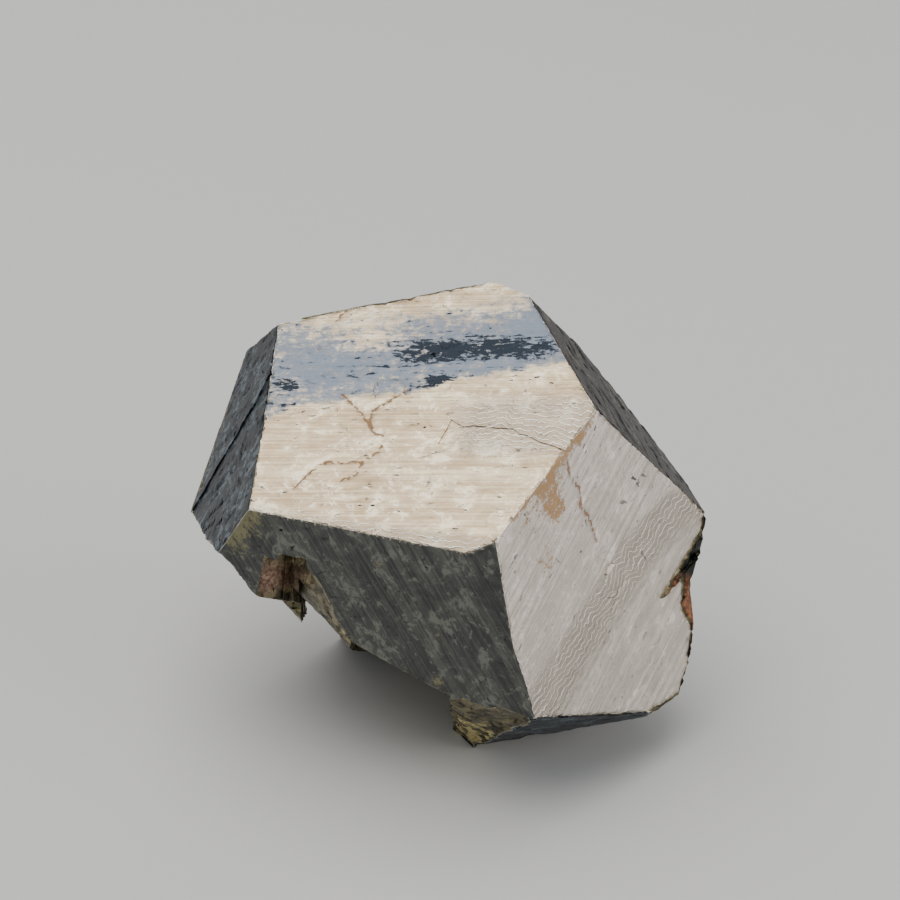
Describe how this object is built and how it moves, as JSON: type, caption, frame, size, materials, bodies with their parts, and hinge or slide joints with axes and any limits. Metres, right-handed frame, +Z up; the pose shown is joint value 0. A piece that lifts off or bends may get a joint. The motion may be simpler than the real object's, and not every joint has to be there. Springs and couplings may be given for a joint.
{
  "type": "pyrite crystal specimen",
  "caption": "Broken-off single crystal of pyrite, a pentagonal dodecahedron with striated faces and a fractured base, for display.",
  "frame": {"origin": "middle of the bounding box's footprint, at the height on which the crystal rests", "axes": "+Z up as the crystal rests, -Y towards the side with the two large striated faces meeting at an edge, +X to the right as seen from there"},
  "size_m": [0.0466, 0.0366, 0.0385],
  "materials": {
    "pyrite": "metallic lustre, fine growth striations, tarnished and rough where broken"
  },
  "bodies": {
    "root": {"pyrite_crystal": "pyrite"}
  },
  "joints": []
}
